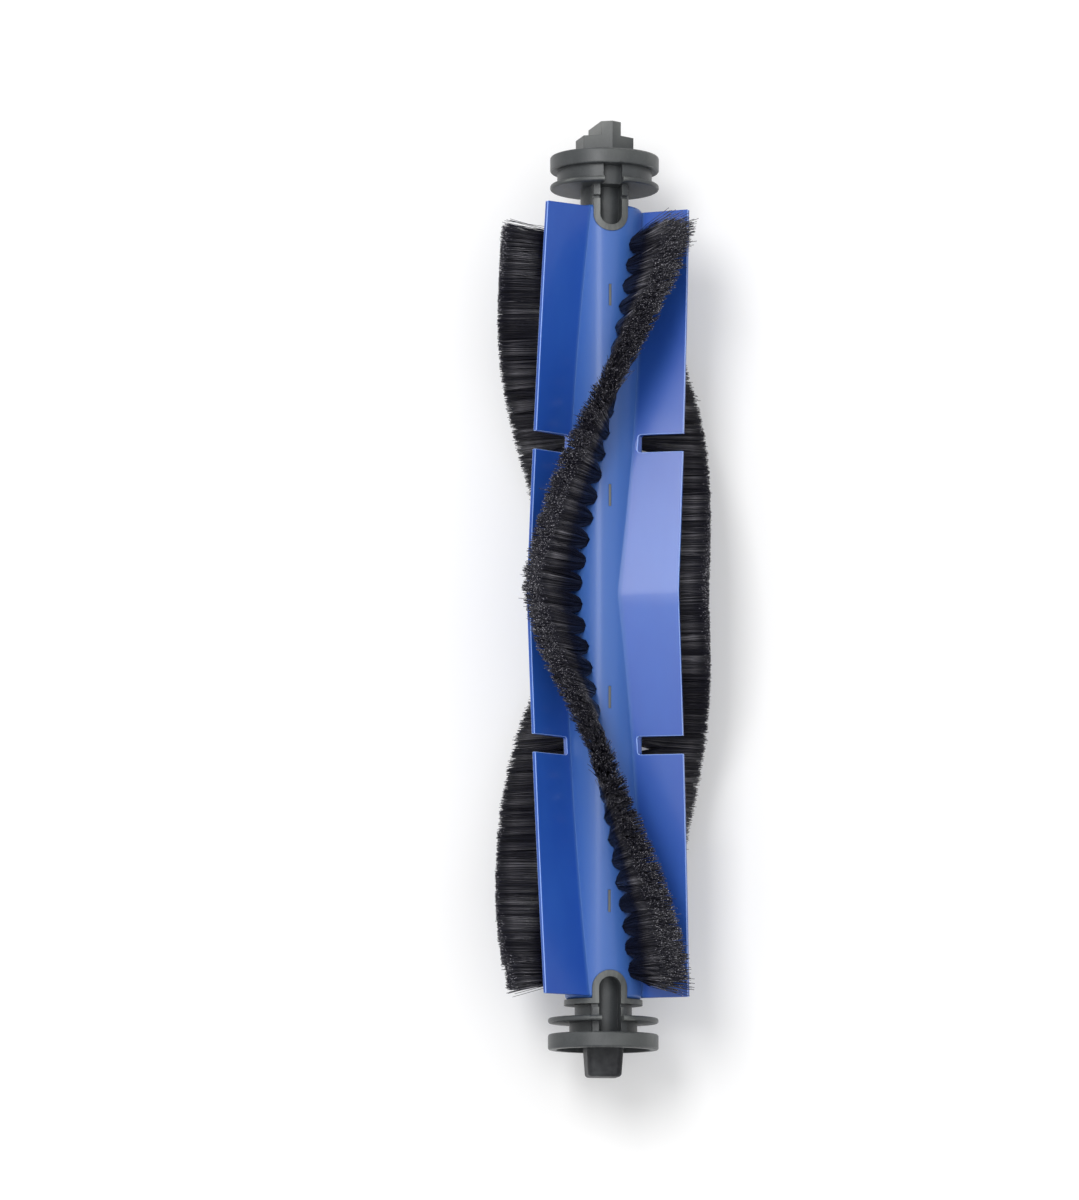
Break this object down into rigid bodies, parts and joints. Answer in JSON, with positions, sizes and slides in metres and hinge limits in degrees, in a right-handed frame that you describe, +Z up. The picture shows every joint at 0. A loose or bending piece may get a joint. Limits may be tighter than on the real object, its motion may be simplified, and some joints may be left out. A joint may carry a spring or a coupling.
{
  "type": "robot vacuum roller brush",
  "caption": "Roller brush with soft notched chevron blades and chevron bristle rows on a hard core, hair-guard spools, a hexagonal drive end and a turning square bearing block.",
  "frame": {"origin": "on the floor under the middle of the roller, as it lies on its bristle tips", "axes": "+Y along the axle towards the drive end, +Z up, +X to the right of someone facing +Y"},
  "size_m": [0.0415, 0.1818, 0.0411],
  "materials": {
    "core_plastic": "fine matt mould grain",
    "blade_rubber": "satin soft elastomer",
    "bristle_fibre": "satin nylon filament",
    "staple_wire": "drawn flat wire",
    "pin_steel": "ground steel",
    "bush_bronze": "sintered bronze",
    "block_plastic": "satin moulded plastic"
  },
  "bodies": {
    "roller": {"roller_core": "core_plastic", "blade_sleeve": "blade_rubber", "bristle_row_1": "bristle_fibre", "bristle_row_2": "bristle_fibre", "bristle_row_3": "bristle_fibre", "tuft_staples": "staple_wire", "bearing_pin": "pin_steel"},
    "bearing": {"bearing_bush": "bush_bronze", "bearing_block": "block_plastic"}
  },
  "joints": [
    {"name": "bearing_spin", "type": "hinge", "parent": "roller", "child": "bearing", "pos_m": [0, -0.087, 0.02038], "axis": [0, -1, 0], "continuous": true}
  ]
}
